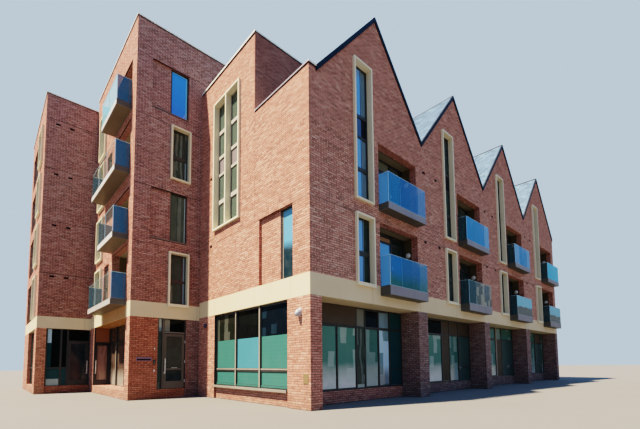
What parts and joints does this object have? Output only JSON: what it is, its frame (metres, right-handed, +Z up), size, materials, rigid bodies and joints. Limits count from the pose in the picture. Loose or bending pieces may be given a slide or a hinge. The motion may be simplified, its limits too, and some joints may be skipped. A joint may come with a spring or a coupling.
{
  "type": "apartment block",
  "caption": "Brick apartment block over shops: gabled street range with recessed glass balconies, raised corner and taller stepped flat-roofed wing.",
  "frame": {"origin": "centre of the bounding box at ground level", "axes": "+Z up, street front faces -Y, square front faces -X"},
  "size_m": [30.165, 21.93, 16.255],
  "materials": {
    "brick": "fired clay brick in mortar, matt",
    "band_metal": "satin beige coating",
    "concrete": "cast concrete, matt",
    "membrane": "grey roof membrane, matt",
    "slate": "riven slate, matt",
    "navy_trim": "dark blue satin coating",
    "coping_metal": "pale grey satin coating",
    "surround_metal": "champagne satin coating",
    "dark_frame": "dark grey satin coating",
    "clear_glass": "float glass",
    "balcony_glass": "blue tinted laminated glass",
    "olive_panel": "olive brown satin coating",
    "balcony_metal": "grey satin coating",
    "green_paint": "dark green satin coating",
    "steel": "brushed",
    "lamp_white": "white opal"
  },
  "bodies": {
    "block": {"ground_piers": "brick", "shop_plinths": "brick", "storey_band": "band_metal", "corner_wall": "brick", "street_wall": "brick", "front_spandrels": "brick", "tower_wall": "brick", "wing_front_wall": "brick", "wing_side_wall": "brick", "wing_spandrels": "brick", "back_walls": "brick", "back_spandrels": "brick", "end_walls": "brick", "floor_slabs": "concrete", "wing_floors": "concrete", "flat_roofs": "membrane", "west_slopes": "slate", "east_slopes": "slate", "roof_trims": "navy_trim", "copings": "coping_metal", "window_jambs": "surround_metal", "window_heads": "surround_metal", "window_glass": "clear_glass", "shop_mullions": "dark_frame", "shop_transoms": "dark_frame", "shop_glass": "clear_glass", "recess_cheeks": "olive_panel", "recess_soffits": "olive_panel", "recess_screens": "dark_frame", "balcony_slabs": "balcony_metal", "balcony_glass": "balcony_glass", "wall_lamps": "lamp_white"},
    "main_door": {"entrance_door": "dark_frame", "entrance_glass": "clear_glass", "entrance_pull": "steel"},
    "porch_leaf": {"porch_door": "dark_frame", "porch_glass": "clear_glass", "porch_pull": "steel"},
    "shop_leaf": {"shop_door": "dark_frame", "shop_door_glass": "clear_glass", "shop_door_pull": "steel"},
    "green_leaf_a": {"green_door_a": "green_paint"},
    "green_leaf_b": {"green_door_b": "green_paint"},
    "green_leaf_c": {"green_door_c": "green_paint"},
    "green_leaf_d": {"green_door_d": "green_paint"}
  },
  "joints": [
    {"name": "main_door_hinge", "type": "hinge", "parent": "block", "child": "main_door", "pos_m": [-10.3725, -2.716, 1], "axis": [0, 0, -1], "range_deg": [0, 90]},
    {"name": "porch_door_hinge", "type": "hinge", "parent": "block", "child": "porch_leaf", "pos_m": [-11.9595, 3.261, 1], "axis": [0, 0, 1], "range_deg": [0, 90]},
    {"name": "shop_door_hinge", "type": "hinge", "parent": "block", "child": "shop_leaf", "pos_m": [-13.5925, 4.399, 1], "axis": [0, 0, 1], "range_deg": [0, 90]},
    {"name": "green_a_hinge", "type": "hinge", "parent": "block", "child": "green_leaf_a", "pos_m": [2.2725, -9.606, 1], "axis": [0, 0, -1], "range_deg": [0, 90]},
    {"name": "green_b_hinge", "type": "hinge", "parent": "block", "child": "green_leaf_b", "pos_m": [6.6725, -9.606, 1], "axis": [0, 0, 1], "range_deg": [0, 90]},
    {"name": "green_c_hinge", "type": "hinge", "parent": "block", "child": "green_leaf_c", "pos_m": [8.3875, -9.606, 1], "axis": [0, 0, -1], "range_deg": [0, 90]},
    {"name": "green_d_hinge", "type": "hinge", "parent": "block", "child": "green_leaf_d", "pos_m": [12.8025, -9.606, 1], "axis": [0, 0, 1], "range_deg": [0, 90]}
  ]
}
